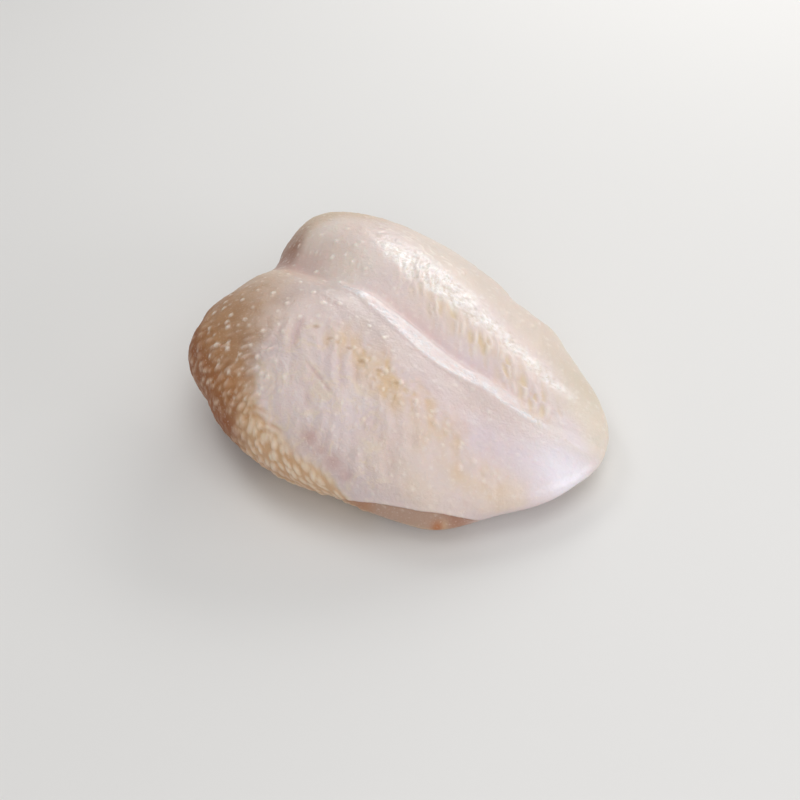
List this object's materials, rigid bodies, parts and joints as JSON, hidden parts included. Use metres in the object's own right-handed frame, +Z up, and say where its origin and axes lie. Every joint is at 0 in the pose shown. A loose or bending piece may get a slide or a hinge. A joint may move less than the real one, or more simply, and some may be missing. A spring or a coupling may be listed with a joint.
{
  "type": "raw chicken breast",
  "caption": "Whole raw chicken breast with the skin on, lying skin side up, with a keel ridge, a cleft at the neck end and a tapering tail.",
  "frame": {"origin": "centre of the underside of the bounding box, on the surface it rests on", "axes": "+X along the keel from the neck end to the tail, +Z up out of the skin side"},
  "size_m": [0.2114, 0.1726, 0.0765],
  "materials": {
    "skin": "wet satin, pale pink skin with goose bumps"
  },
  "bodies": {
    "root": {"breast": "skin"}
  },
  "joints": []
}
